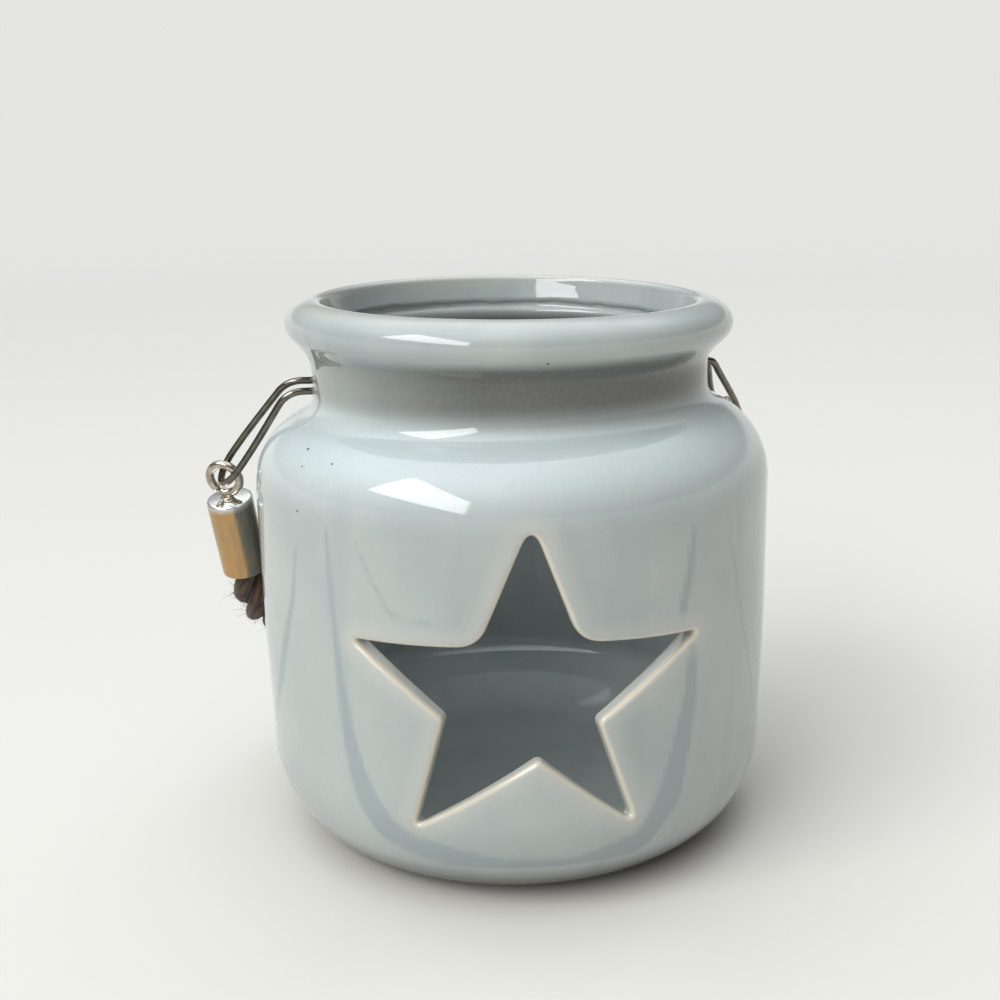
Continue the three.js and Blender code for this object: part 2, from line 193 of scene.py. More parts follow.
# Rope: its centre line between the two caps, and its three strands.
ROPE_IN_CAP = 11.5
ROPE_ROUTE = [
    (-54.5, 11.8, 43.6), (-53.8, 14.5, 39.8), (-52.6, 18.1, 36.7), (-50.7, 22.6, 34.2),
    (-47.8, 27.8, 31.9), (-43.5, 33.9, 29.5), (-37.6, 40.7, 26.6), (-32.6, 45.3, 24.5),
    (-27.1, 49.2, 22.8), (-21.1, 52.4, 21.4), (-14.8, 55.0, 20.4), (-8.2, 57.1, 19.8),
    (-1.4, 58.6, 19.6), (5.4, 59.5, 19.8), (9.9, 59.6, 20.6), (14.7, 59.1, 22.4),
    (19.9, 58.1, 25.2), (25.0, 56.6, 28.7), (30.0, 54.6, 32.9), (34.7, 52.2, 37.6),
    (38.8, 49.3, 42.7), (42.1, 46.1, 47.9), (44.5, 42.5, 53.2),
]
ROPE_RADIUS = 3.8
ROPE_STRANDS = 3
STRAND_RADIUS = 1.76
ROPE_PITCH = 24.0
ROPE_STEP = 0.7
ROPE_SPAN_STEPS = 24
STRAND_SIDES = 24
YARNS = 7
YARN_DEPTH = 0.13
YARN_PITCH = 9.0

# Loose fibres: how far each spreads round its strand in radians, leans along it and to the side, and curls.
FIBRE_SEED = 7
FIBRE_COUNT = 2600
FIBRE_LENGTH = (0.8, 2.6)
FIBRE_RADIUS = 0.035
FIBRE_TAPER = 0.6
FIBRE_ROOT = 0.1
FIBRE_SPREAD = 1.0
FIBRE_LIFT = 0.7
FIBRE_LEAN = 1.6
FIBRE_SIDEWAYS = 0.8
FIBRE_CURL = 0.5
FIBRE_POINTS = 4
FIBRE_SIDES = 3
FIBRE_CLEAR_STEPS = 2

# Glaze colours, from the thick glaze to the thin one on edges, with a painted shade and a painted sheen.
GLAZE_PALE = (0.42, 0.455, 0.44)
GLAZE_MIDDLE = (0.37, 0.41, 0.405)
GLAZE_BLUE = (0.28, 0.33, 0.35)
# Painted shade: the dark colour painted at the foot and on the neck under the bead.
GLAZE_PAINTED_SHADE = (0.075, 0.073, 0.058)
# Painted sheen: the bluish white painted on the upward-facing shoulder.
GLAZE_PAINTED_SHEEN = (0.57, 0.645, 0.65)
GLAZE_THIN = (0.56, 0.55, 0.5)
EDGE_CREAM = (0.66, 0.61, 0.51)
EDGE_TAN = (0.5, 0.38, 0.25)
CUT_FACE = (0.46, 0.475, 0.455)
BISQUE = (0.62, 0.54, 0.44)
SPECK = (0.07, 0.06, 0.05)

# Where the glaze changes with height, and across the neck, in metres: painted shade at the foot and on the
# neck, a painted sheen on the shoulder, thinner glaze at the rim and bare clay at the foot. A span that runs
# down fades out upwards.
FOOT_PAINTED_SHADE = (0.0095, 0.003)
SHOULDER_PAINTED_SHEEN = ((0.07, 0.08), (0.0885, 0.085))
NECK_PAINTED_SHADE = ((0.084, 0.09), (0.098, 0.0955))
NECK_SHADE_ACROSS = (-0.036, -0.005)
RIM_THIN = (0.1028, 0.1045)
BARE_FOOT = (0.0009, 0.0004)

# How much of each colour the glaze takes there, painted shade and sheen included, in its streaks and runs,
# and in its grain.
FOOT_SHADE_AMOUNT = 0.8
SHOULDER_SHEEN_AMOUNT = 0.7
NECK_SHADE_AMOUNTS = (0.35, 0.9)
RIM_AMOUNT = 0.5
STREAK_AMOUNT = 0.3
RUN_AMOUNT = 0.8
GRAIN_AMOUNT = 0.08

# Layers of thinning glaze at the cuts: the distances from the edge where each starts and is full, its amount
# and its colour. The cut face itself lies below 0.
EDGE_WANDER = 0.06
EDGE_LAYERS = [
    (5.0, 0.6, 0.25, EDGE_CREAM),
    (1.0, 0.3, 0.75, EDGE_CREAM),
    (0.22, 0.05, 0.35, EDGE_TAN),
    (0.0, -0.6, 1.0, CUT_FACE),
]

# Metal, and where the end caps show wear: below these heights, and a painted brown reflection on the side
# that faces this way.
WIRE_BRIGHT = (0.18, 0.165, 0.14)
WIRE_DULL = (0.06, 0.05, 0.038)
RING_BRIGHT = (0.5, 0.46, 0.4)
RING_DULL = (0.2, 0.14, 0.075)
CAP_BRIGHT = (0.85, 0.84, 0.81)
CAP_GREY = (0.24, 0.23, 0.2)
CAP_PAINTED_REFLECTION = (0.5, 0.31, 0.14)
CAP_STREAK = 0.3
DULL_HEIGHTS = (0.35, 0.9)
BROWN_REFLECTION_SIDE = (-0.7, -0.7, 0.0)
BROWN_REFLECTION_FACING = (0.35, 0.6)

# Rope and fibres, and how much of the light colour a yarn keeps where it turns inwards, in the painted shade
# between the strands.
ROPE_DARK = (0.022, 0.012, 0.008)
ROPE_PALE = (0.13, 0.07, 0.04)
FIBRE_DARK = (0.05, 0.028, 0.018)
FIBRE_PALE = (0.16, 0.1, 0.06)
RIDGE_LIGHT_INWARD = 0.6

# Finish: the middle spans of the noises, their stretches along Z, and roughness.
SOFT = (0.3, 0.7)
TARNISH = (0.35, 0.7)
SPECKLED = (0.3, 0.75)
STREAK_STRETCH = (1.0, 1.0, 0.13)
CAP_STRETCH = (1.0, 1.0, 0.05)
SCRATCH_STRETCH = (1.0, 1.0, 0.06)
GLAZE_ROUGHNESS = (0.03, 0.08)
BARE_ROUGHNESS = 0.85
GLAZE_IOR = 1.6
METAL_ROUGHNESS = (0.07, 0.2)
CAP_ROUGHNESS = (0.08, 0.2)
ROPE_ROUGHNESS = 0.95
ROPE_SHEEN = 0.25

# Runs of thicker, bluer glaze down the wall: angle from the front in degrees, height and half width.
GLAZE_RUNS = [
    [
        (-43.0, 69.0, 0.3), (-42.4, 56.0, 0.6), (-41.7, 47.0, 0.8), (-41.0, 40.0, 1.1),
        (-40.0, 32.0, 1.5), (-38.3, 25.0, 2.0), (-36.0, 20.0, 2.5), (-31.7, 15.0, 2.6),
        (-26.7, 13.0, 2.4), (-17.0, 10.8, 2.3), (-6.5, 9.0, 2.2), (10.0, 8.7, 2.2),
        (23.5, 11.8, 2.5), (30.0, 19.6, 2.7), (33.0, 28.8, 2.2), (35.0, 38.7, 1.5),
        (35.0, 47.0, 0.9),
    ],
    [(-53.4, 64.0, 0.3), (-56.0, 54.0, 0.7), (-60.0, 46.0, 1.1), (-65.0, 37.0, 1.4), (-74.0, 25.0, 0.9)],
    [(-35.0, 67.0, 0.1), (-32.0, 61.6, 0.2), (-28.0, 56.0, 0.2), (-20.0, 55.0, 0.1)],
    [(35.3, 68.0, 0.4), (34.0, 60.0, 0.8), (32.3, 54.0, 0.9)],
    [(46.8, 65.0, 0.1), (53.6, 46.6, 0.3), (64.0, 26.0, 0.4)],
]
RUN_EDGE = 0.5

# Marks in the glaze: place, radius and colour.
MARKS = [
    ((-37.52, -24.38, 80.69), 0.4, SPECK),
    ((-38.45, -27.53, 78.25), 0.25, SPECK),
    ((-32.8, -32.34, 79.62), 0.3, SPECK),
    ((-39.45, -30.68, 71.01), 0.3, SPECK),
    ((3.97, -41.52, 97.33), 0.3, SPECK),
    ((-13.39, -48.17, 51.94), 0.35, EDGE_TAN),
    ((-8.15, -49.33, 56.21), 0.35, CUT_FACE),
    ((-29.13, -40.64, 50.32), 0.3, SPECK),
    ((-28.08, -41.37, 50.0), 0.25, EDGE_TAN),
]

# Studio, in metres: the window, and the floor with the distances over which it fades into the horizon.
# The room's light goes by the direction's height, from straight down at 0 to straight up at 1, and is
# darker to the right of the camera.
WINDOW_PLACE = (-1.5, -1.95, 1.88)
WINDOW_SIZE = (3.15, 1.5)
WINDOW_WATTS = 96.0
WINDOW_TURN = ((0.0, 0.0, -1.0), (-1.0, 0.0, 0.0), (0.0, 1.0, 0.0))
STAGE_RADIUS = 6.0
STAGE_SIDES = 96
STAGE_COLOUR = (0.67, 0.65, 0.61)
STAGE_ROUGHNESS = 0.9
STAGE_GLOSS = 0.1
STAGE_FADE = (0.35, 1.9)
HORIZON = (0.78, 0.78, 0.76)
ROOM_LIGHT = [
    (0.555, HORIZON),
    (0.6, (0.2, 0.19, 0.18)),
    (0.72, (0.26, 0.27, 0.27)),
    (0.8, (0.6, 0.64, 0.66)),
    (0.87, (1.5, 1.58, 1.62)),
    (1.0, (2.1, 2.2, 2.26)),
]
ROOM_SHADE = [
    (0.555, HORIZON),
    (0.6, (0.05, 0.036, 0.022)),
    (0.72, (0.06, 0.048, 0.034)),
    (1.0, (0.4, 0.4, 0.4)),
]
SHADE_TOWARDS = (0.8, -0.6, 0.0)
SHADE_EDGE = (0.05, 0.75)


def smoothstep(value, low, high):
    share = np.clip((value - low) / (high - low), 0.0, 1.0)
    return share * share * (3 - 2 * share)


def unit(vectors):
    return vectors / np.linalg.norm(vectors, axis=-1, keepdims=True)


def step_lengths(points):
    return np.linalg.norm(np.diff(points, axis=0), axis=1)


def run_along(points):
    """The length run along a line up to each of its points."""
    return np.concatenate(([0.0], np.cumsum(step_lengths(points))))


def add_mesh(name, verts, faces, material, body, slot, *nodes):
    """A smooth mesh piece from millimetre points, riding a body and standing for CAD nodes."""
    mesh = bpy.data.meshes.new(name)
    mesh.from_pydata((np.asarray(verts) * MM).tolist(), [], faces)
    mesh.shade_smooth()
    mesh.materials.append(material)
    piece = bpy.data.objects.new(name, mesh)
    bpy.context.scene.collection.objects.link(piece)
    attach(piece, body)
    if nodes:
        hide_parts(*nodes)
    return piece


def add_attribute(piece, name, values):
    """A number for each point of a piece, for its material to read."""
    attribute = piece.data.attributes.new(name, "FLOAT", "POINT")
    attribute.data.foreach_set("value", np.asarray(values, np.float32))


def catmull(points, per_span):
    """A smooth line through the points."""
    points = np.asarray(points, float)
    ends = np.vstack((2 * points[0] - points[1], points, 2 * points[-1] - points[-2]))
    share = (np.arange(per_span) / per_span)[:, None]
    spans = []
    for before, start, end, after in zip(ends, ends[1:], ends[2:], ends[3:]):
        enter, leave = (end - before) / 2, (after - start) / 2
        square, cube = share**2, share**3
        spans.append(
            (2 * cube - 3 * square + 1) * start
            + (cube - 2 * square + share) * enter
            + (3 * square - 2 * cube) * end
            + (cube - square) * leave
        )
    return np.vstack((*spans, points[-1:]))


def respaced(points, step):
    """The same line with points about a step apart, and the length run up to each."""
    run = run_along(points)
    places = np.linspace(0.0, run[-1], max(2, round(run[-1] / step) + 1))
    return np.stack([np.interp(places, run, points[:, k]) for k in range(3)], axis=1), places


def transported(points):
    """Two normals along a line that turn no more than the line does. The line doesn't start upright."""
    tangents = unit(np.gradient(points, axis=0))
    side = np.cross(tangents[0], (0.0, 0.0, 1.0))
    sides = []
    for tangent in tangents:
        side = side - tangent * (side @ tangent)
        side = side / np.linalg.norm(side)
        sides.append(side)
    return np.array(sides), np.cross(tangents, sides)


def ring_faces(rings, sides, start=0):
    """Quads between rings of points that follow each other, and a face on each end."""
    faces = []
    for i in range(rings - 1):
        here = start + i * sides
        there = here + sides
        for j in range(sides):
            k = (j + 1) % sides
            faces.append((here + j, here + k, there + k, there + j))
    faces.append(tuple(start + j for j in reversed(range(sides))))
    faces.append(tuple(start + (rings - 1) * sides + j for j in range(sides)))
    return faces


def rounded_tube(points, radius, sides):
    """A round bar along a line, with domed ends."""
    dome = np.radians(DOME_ANGLES)
    first, last = unit(points[0] - points[1]), unit(points[-1] - points[-2])
    centres = np.vstack((
        [points[0] + first * radius * math.sin(a) for a in dome],
        points,
        [points[-1] + last * radius * math.sin(a) for a in dome[::-1]],
    ))
    widths = radius * np.concatenate((np.cos(dome), np.ones(len(points)), np.cos(dome[::-1])))
    normals, others = transported(centres)
    angles = 2 * np.pi * np.arange(sides) / sides
    spokes = normals[:, None] * np.cos(angles)[:, None] + others[:, None] * np.sin(angles)[:, None]
    verts = centres[:, None] + widths[:, None, None] * spokes
    return verts.reshape(-1, 3), ring_faces(len(centres), sides)


def ellipse_arc(centre, half, start, end):
    """Points on an ellipse in the half plane of radius and height, angles in degrees."""
    length = max(half) * math.radians(abs(end - start))
    angles = np.radians(np.linspace(start, end, max(FEWEST_ARC_POINTS, int(length / OUTLINE_STEP))))
    return np.array(centre) + np.array(half) * np.stack((np.cos(angles), np.sin(angles)), axis=1)


def arc(centre, radius, start, end):
    return ellipse_arc(centre, (radius, radius), start, end)


def bent(start, control, end):
    """A curve that leaves start towards control and arrives at end from it."""
    share = np.linspace(0.0, 1.0, CURVE_POINTS)[:, None]
    start, control, end = map(np.array, (start, control, end))
    return (1 - share) ** 2 * start + 2 * share * (1 - share) * control + share**2 * end


def straight(start, end):
    count = max(2, int(math.dist(start, end) / OUTLINE_STEP))
    return np.linspace(start, end, count)


def jar_runs():
    """The jar's outline from the centre of its foot over the rim to the centre of its floor.

    Each run of it comes with the spacing of the skin's rows there."""
    corner = (LOW_WALL_RADIUS - FOOT_RADIUS, CORNER_HEIGHT)
    heights = np.linspace(CORNER_HEIGHT, BELLY_HEIGHT, BELLY_POINTS)
    swell = smoothstep(heights, CORNER_HEIGHT, BELLY_HEIGHT)
    belly = np.stack((LOW_WALL_RADIUS + (BODY_RADIUS - LOW_WALL_RADIUS) * swell, heights), axis=1)
    shoulder = BODY_RADIUS - SHOULDER_CENTRE[0]
    neck_out = NECK_RADIUS + NECK_FILLET - SHOULDER_CENTRE[0]
    neck_up = math.sqrt((shoulder + NECK_FILLET) ** 2 - neck_out**2)
    neck_angle = math.degrees(math.atan2(neck_up, neck_out))
    shoulder_arc = arc(SHOULDER_CENTRE, shoulder, 0.0, neck_angle)
    hollow_centre = (NECK_RADIUS + NECK_FILLET, SHOULDER_CENTRE[1] + neck_up)
    hollow = arc(hollow_centre, NECK_FILLET, 180.0 + neck_angle, 180.0)
    bead = ellipse_arc(BEAD_CENTRE, BEAD_HALF, *BEAD_SWEEP)
    rise = (bead[1, 1] - bead[0, 1]) / (bead[1, 0] - bead[0, 0])
    under_bead = (NECK_RADIUS, bead[0, 1] - (bead[0, 0] - NECK_RADIUS) * rise)
    lip_centre = (BEAD_CENTRE[0], BEAD_CENTRE[1] + BEAD_HALF[1] - LIP_RADIUS)
    lip = arc(lip_centre, LIP_RADIUS, 90.0, 180.0)
    bore_top = (NECK_BORE_RADIUS, NECK_BORE_HIGH)
    bore_centre = (NECK_BORE_RADIUS + NECK_BORE_ROUNDING, NECK_BORE_LOW)
    bore_edge = arc(bore_centre, NECK_BORE_ROUNDING, *NECK_EDGE_SWEEP)
    inner_centre = (CAVITY_RADIUS - INNER_SHOULDER_RADIUS, SHOULDER_CENTRE[1])
    inner_shoulder = arc(inner_centre, INNER_SHOULDER_RADIUS, INNER_SHOULDER_SWEEP, 0.0)
    corner_centre = (CAVITY_RADIUS - INNER_CORNER_RADIUS, INNER_CORNER_HEIGHT)
    inner_corner = arc(corner_centre, INNER_CORNER_RADIUS, 0.0, -INNER_CORNER_SWEEP)
    slope = math.radians(90.0 - INNER_CORNER_SWEEP)
    dish = (inner_corner[-1, 1] - FLOOR_HEIGHT) / (1 - math.cos(slope))
    dish_centre = (inner_corner[-1, 0] - dish * math.sin(slope), FLOOR_HEIGHT + dish)
    dish_arc = arc(dish_centre, dish, -INNER_CORNER_SWEEP, -90.0)
    return [
        (straight((0.0, 0.0), (FOOT_RADIUS, 0.0)), FLAT_ROW),
        (ellipse_arc((FOOT_RADIUS, CORNER_HEIGHT), corner, -90.0, 0.0), WALL_ROW),
        (belly, WALL_ROW),
        (straight((BODY_RADIUS, BELLY_HEIGHT), (BODY_RADIUS, SHOULDER_CENTRE[1])), WALL_ROW),
        (shoulder_arc, FINE_ROW),
        (hollow, FINE_ROW),
        (straight(hollow[-1], (NECK_RADIUS, NECK_HIGH)), FINE_ROW),
        (bent((NECK_RADIUS, NECK_HIGH), under_bead, bead[0]), FINE_ROW),
        (bead, FINE_ROW),
        (lip, LIP_ROW),
        (straight(lip[-1], RIM_BORE_FOOT), FINE_ROW),
        (straight(RIM_BORE_FOOT, DRIP_GROOVE), GROOVE_ROW),
        (bent(DRIP_GROOVE, (DRIP_GROOVE[0], NECK_BORE_HIGH), bore_top), GROOVE_ROW),
        (straight(bore_top, bore_edge[0]), FINE_ROW),
        (bore_edge, FINE_ROW),
        (inner_shoulder, WALL_ROW),
        (straight(inner_shoulder[-1], inner_corner[0]), WALL_ROW),
        (inner_corner, LIP_ROW),
        (dish_arc, WALL_ROW),
        (straight(dish_arc[-1], (0.0, FLOOR_HEIGHT)), FLAT_ROW),
    ]


def settling(angle, height):
    """How far the pot has sunk at an angle from the front and a height."""
    right = np.sin(angle)
    back = ((1 - np.cos(angle)) / 2) ** 2
    low, full, high = SAG_HEIGHTS
    sag = smoothstep(height, low, full) * (1 - smoothstep(height, full, high))
    lean = smoothstep(height, *RIM_LEAN_HEIGHTS)
    return SAG * sag * (1 - right) / 2 + lean * (RIM_LEAN * right - RIM_RISE * back)


def settled(points):
    """The jar's points with its sagging shoulder, leaning rim and wandering glaze edge."""
    x, y, z = points.T
    radius, angle = np.hypot(x, y), np.arctan2(x, -y)
    in_mouth = (radius < RIM_BORE_FOOT[0] + LIP_RADIUS) & (z > NECK_BORE_HIGH - DRIP_REACH)
    near_drip = in_mouth * np.clip(1 - np.abs(z - RIM_BORE_FOOT[1]) / DRIP_REACH, 0.0, 1.0)
    drip = sum(size * np.sin(count * angle + start) for count, size, start in DRIP_WAVES)
    return np.stack((x, y, z - settling(angle, z) + drip * near_drip), axis=1)


def unsettled(angles, heights):
    """The heights before settling that come to rest at these heights."""
    table = np.linspace(SAG_HEIGHTS[0], SAG_HEIGHTS[2] + LIP_RADIUS, SETTLING_POINTS)
    return np.array([np.interp(h, table - settling(a, table), table) for a, h in zip(angles, heights)])


class JarSkin:
    """The jar's surface, addressed by the angle from the front and the length run along the outline."""

    def __init__(self):
        runs = jar_runs()
        points = np.vstack([run for run, _ in runs])
        self.points = points[np.concatenate(([True], step_lengths(points) > SAME_POINT))]
        self.run = run_along(self.points)
        slope = np.gradient(self.points, self.run, axis=0)
        self.normals = unit(np.stack((slope[:, 1], -slope[:, 0]), axis=1))
        self.top = int(np.argmax(self.points[:, 1]))
        rows, start = [], 0.0
        for run, spacing in runs:
            length = step_lengths(run).sum()
            count = max(2, round(length / spacing))
            rows.append(start + np.linspace(0.0, length, count, endpoint=False))
            start += length
        self.rows = np.concatenate(rows)[1:]
        self.verts, self.edge, self.faces = [], [], []

    def place(self, angle, run, sink=0.0):
        """Points on the surface, or sunk below it by a depth."""

        def sunk(k):
            depth = sink * np.interp(run, self.run, self.normals[:, k])
            return np.interp(run, self.run, self.points[:, k]) - depth

        radius, height = sunk(0), sunk(1)
        place = (radius * np.sin(angle), -radius * np.cos(angle), height)
        return np.stack(np.broadcast_arrays(*place), axis=-1)

    def run_at(self, height, inside):
        """The length along the outline at which the outer or inner wall has this height."""
        part = slice(self.top, None) if inside else slice(0, self.top)
        heights, runs = self.points[part, 1], self.run[part]
        order = np.argsort(heights, kind="stable")
        return np.interp(height, heights[order], runs[order])

    def add(self, points, edge):
        """Adds points that lie this far from the nearest cut. Returns their numbers."""
        start = len(self.verts)
        self.verts.extend(points.reshape(-1, 3).tolist())
        self.edge.extend([float(edge)] * (len(self.verts) - start))
        return np.arange(start, len(self.verts))


def distance_to_loop(points, loop):
    """How far points in a plane are from a closed line."""
    start, step = loop, np.roll(loop, -1, axis=0) - loop
    share = ((points[:, None] - start) * step).sum(-1) / (step**2).sum(-1)
    nearest = start + np.clip(share, 0.0, 1.0)[..., None] * step
    return np.linalg.norm(points[:, None] - nearest, axis=-1).min(axis=1)


def inside_loop(points, loop):
    """Whether points in a plane are inside a closed line."""
    x, y = points[:, 0, None], points[:, 1, None]
    next_point = np.roll(loop, -1, axis=0)
    crosses = (loop[:, 1] > y) != (next_point[:, 1] > y)
    rise = np.where(next_point[:, 1] == loop[:, 1], 1.0, next_point[:, 1] - loop[:, 1])
    at = loop[:, 0] + (y - loop[:, 1]) / rise * (next_point[:, 0] - loop[:, 0])
    return (crosses & (x < at)).sum(axis=1) % 2 == 1


def open_skin(skin, grid, angles, heights, inside, rounding):
    """Cuts a hole with a rounded edge in one wall.

    Returns its rings from the wall to the cut, the cells it takes and the way its outline turns."""
    runs = skin.run_at(heights, inside)
    middle = (angles.max() + angles.min()) / 2
    radius = np.interp(runs.mean(), skin.run, skin.points[:, 0])
    loop = np.stack(((angles - middle) * radius, runs), axis=1)
    ahead, behind = np.roll(loop, -1, axis=0), np.roll(loop, 1, axis=0)
    along = unit(ahead - behind)
    turning = np.sign((loop[:, 0] * ahead[:, 1] - ahead[:, 0] * loop[:, 1]).sum())
    away = turning * np.stack((along[:, 1], -along[:, 0]), axis=1)

    def on_skin(line, sink, offset):
        return skin.add(skin.place(middle + line[:, 0] / radius, line[:, 1], sink), offset)

    rings = []
    for angle in np.radians(EDGE_ANGLES):
        offset, sink = rounding * (1 - math.sin(angle)), rounding * (1 - math.cos(angle))
        rings.append(on_skin(loop + away * offset, sink, offset))
    border, reach = loop + away * rounding, rounding + EDGE_MARGIN
    halo = loop + away * reach
    halo = halo[distance_to_loop(halo, loop) > reach * HALO_SHARE]
    halo_index = on_skin(halo, 0.0, reach)

    cell = 2 * math.pi / JAR_COLUMNS
    low, high = loop.min(axis=0) - PATCH_MARGIN, loop.max(axis=0) + PATCH_MARGIN
    first_column = math.floor((middle + low[0] / radius) / cell)
    last_column = math.ceil((middle + high[0] / radius) / cell)
    columns = np.arange(first_column, last_column + 1)
    first_row, last_row = np.searchsorted(skin.rows, (low[1], high[1]))
    rows = np.arange(first_row, last_row + 1)
    grid_points = np.stack(np.meshgrid((columns * cell - middle) * radius, skin.rows[rows]), axis=-1)
    flat_grid = grid_points.reshape(-1, 2)
    grid_index = grid[np.ix_(rows, columns % JAR_COLUMNS)]
    on_rim = np.ones(grid_index.shape, bool)
    on_rim[1:-1, 1:-1] = False
    apart = distance_to_loop(flat_grid, loop).reshape(on_rim.shape)
    in_hole = inside_loop(flat_grid, border).reshape(on_rim.shape)
    free = ~in_hole & (apart > reach + GRID_CLEARANCE)
    for place, distance in zip(grid_index[on_rim | free], apart[on_rim | free]):
        skin.edge[place] = float(distance)

    rim_sides = (grid_index[0], grid_index[1:, -1], grid_index[-1, -2::-1], grid_index[-2:0:-1, 0])
    rim_index = np.concatenate(rim_sides)
    known = {int(i): tuple(point) for i, point in zip(grid_index.ravel(), flat_grid)}
    inner = grid_index[free & ~on_rim]
    index = np.concatenate((rim_index, inner, halo_index, rings[0])).astype(int)
    flat = [Vector(known[i]) for i in np.concatenate((rim_index, inner))] + [Vector(p) for p in halo]
    rim_count, ring_start = len(rim_index), len(flat)
    flat += [Vector(p) for p in border]
    edges = [(i, (i + 1) % rim_count) for i in range(rim_count)]
    edges += [(ring_start + i, ring_start + (i + 1) % len(border)) for i in range(len(border))]
    made, _, triangles, sources, _, _ = delaunay_2d_cdt(flat, edges, [], 0, PATCH_TOLERANCE)
    source = [index[s[0]] for s in sources]
    corners = np.array([[made[v] for v in triangle] for triangle in triangles])
    outside = ~inside_loop(corners.mean(axis=1), border)
    crossing = np.cross(corners[:, 1] - corners[:, 0], corners[:, 2] - corners[:, 0])
    for triangle, keep, turn in zip(triangles, outside, crossing):
        if keep:
            face = [int(source[v]) for v in triangle]
            skin.faces.append(tuple(face if turn > 0 else face[::-1]))
    taken = {(int(r), int(c)) for r in rows[:-1] for c in columns[:-1] % JAR_COLUMNS}
    return rings, taken, turning


def cut_through(skin, grid, outside, inside, roundings):
    """Cuts a hole through both walls, given as angles and heights on each, and lines it.

    Returns the cells of the skin that it takes."""
    outer, outer_cells, turning = open_skin(skin, grid, *outside, False, roundings[0])
    inner, inner_cells, _ = open_skin(skin, grid, *inside, True, roundings[1])
    from_outside = np.array([skin.verts[i] for i in outer[-1]])
    from_inside = np.array([skin.verts[i] for i in inner[-1]])
    shares = np.arange(1, CUT_FACE_RINGS + 1) / (CUT_FACE_RINGS + 1)
    lining = [skin.add(from_outside + (from_inside - from_outside) * s, -1.0) for s in shares]
    chain = outer + lining + inner[::-1]
    for before, after in zip(chain, chain[1:]):
        for k in range(len(before)):
            n = (k + 1) % len(before)
            face = (int(after[k]), int(before[k]), int(before[n]), int(after[n]))
            skin.faces.append(face if turning > 0 else face[::-1])
    return outer_cells | inner_cells


def star_outline():
    """The star's outline as x and z, rounded at its corners."""
    corners = np.array([(x, z) for x, z, _ in STAR_CORNERS])
    outline = []
    for i, (_, _, rounding) in enumerate(STAR_CORNERS):
        here = corners[i]
        back = unit(corners[i - 1] - here)
        on = unit(corners[(i + 1) % len(corners)] - here)
        reach = rounding / math.tan(math.acos(back @ on) / 2)
        share = np.linspace(0.0, 1.0, STAR_ROUND_STEPS + 1)[:, None]
        enter, leave = here + back * reach, here + on * reach
        outline.append((1 - share) ** 2 * enter + 2 * share * (1 - share) * here + share**2 * leave)
    rough = np.vstack(outline)
    points = []
    for start, end in zip(rough, np.roll(rough, -1, axis=0)):
        count = max(1, round(np.linalg.norm(end - start) / STAR_EDGE_STEP))
        points.extend(start + (end - start) * k / count for k in range(count))
    return np.array(points)


def run_strength(points):
    """How much of each point of the jar lies under a run of thick glaze."""
    x, y, z = points.T
    outside = np.hypot(x, y) > CAVITY_RADIUS + RUN_EDGE
    flat = np.stack((np.arctan2(x, -y) * BODY_RADIUS, z), axis=1)
    strength = np.zeros(len(points))
    for run in GLAZE_RUNS:
        line = np.array([(math.radians(angle) * BODY_RADIUS, height) for angle, height, _ in run])
        widths = [width for _, _, width in run]
        for start, end, before, after in zip(line, line[1:], widths, widths[1:]):
            step = end - start
            share = np.clip((flat - start) @ step / (step @ step), 0.0, 1.0)
            apart = np.linalg.norm(flat - start - share[:, None] * step, axis=1)
            width = before + (after - before) * share
            strength = np.maximum(strength, 1 - smoothstep(apart - width, -RUN_EDGE, RUN_EDGE))
    return strength * outside


def make_jar(material):
    skin = JarSkin()
    angles = 2 * np.pi * np.arange(JAR_COLUMNS) / JAR_COLUMNS
    grid = skin.add(skin.place(angles[None, :], skin.rows[:, None]), FAR_FROM_EDGE)
    grid = grid.reshape(len(skin.rows), JAR_COLUMNS)
    foot, floor = skin.add(np.array([(0.0, 0.0, 0.0), (0.0, 0.0, FLOOR_HEIGHT)]), FAR_FROM_EDGE)

    star = star_outline()
    star_place = (np.arcsin(star[:, 0] / STAR_FACE_RADIUS), star[:, 1])
    taken = cut_through(skin, grid, star_place, star_place, (STAR_ROUNDING_OUTSIDE, STAR_ROUNDING_INSIDE))
    round_hole = 2 * np.pi * np.arange(HOLE_POINTS) / HOLE_POINTS
    for side, height, turn in (LEFT_HOLE, RIGHT_HOLE):
        places = []
        for radius in (NECK_RADIUS, NECK_BORE_RADIUS):
            across = np.arcsin(HOLE_RADIUS * np.cos(round_hole) / radius)
            hole_angles = side * (math.pi / 2 + across) + math.radians(turn)
            hole_heights = height + HOLE_RADIUS * np.sin(round_hole)
            places.append((hole_angles, unsettled(hole_angles, hole_heights)))
        taken |= cut_through(skin, grid, *places, (HOLE_ROUNDING_OUTSIDE, HOLE_ROUNDING_INSIDE))

    for r in range(len(grid) - 1):
        for c in range(JAR_COLUMNS):
            if (r, c) not in taken:
                n = (c + 1) % JAR_COLUMNS
                cell = (grid[r, c], grid[r, n], grid[r + 1, n], grid[r + 1, c])
                skin.faces.append(tuple(int(i) for i in cell))
    for c in range(JAR_COLUMNS):
        n = (c + 1) % JAR_COLUMNS
        skin.faces.append((int(foot), int(grid[0, n]), int(grid[0, c])))
        skin.faces.append((int(floor), int(grid[-1, c]), int(grid[-1, n])))

    used = sorted({i for face in skin.faces for i in face})
    renumbered = {old: new for new, old in enumerate(used)}
    faces = [tuple(renumbered[i] for i in face) for face in skin.faces]
    verts = settled(np.array(skin.verts)[used])
    jar = add_mesh("glazed_jar", verts, faces, material, "jar", "glaze", "jar_body")
    add_attribute(jar, "edge_distance", np.array(skin.edge)[used])
    add_attribute(jar, "glaze_run", run_strength(verts))


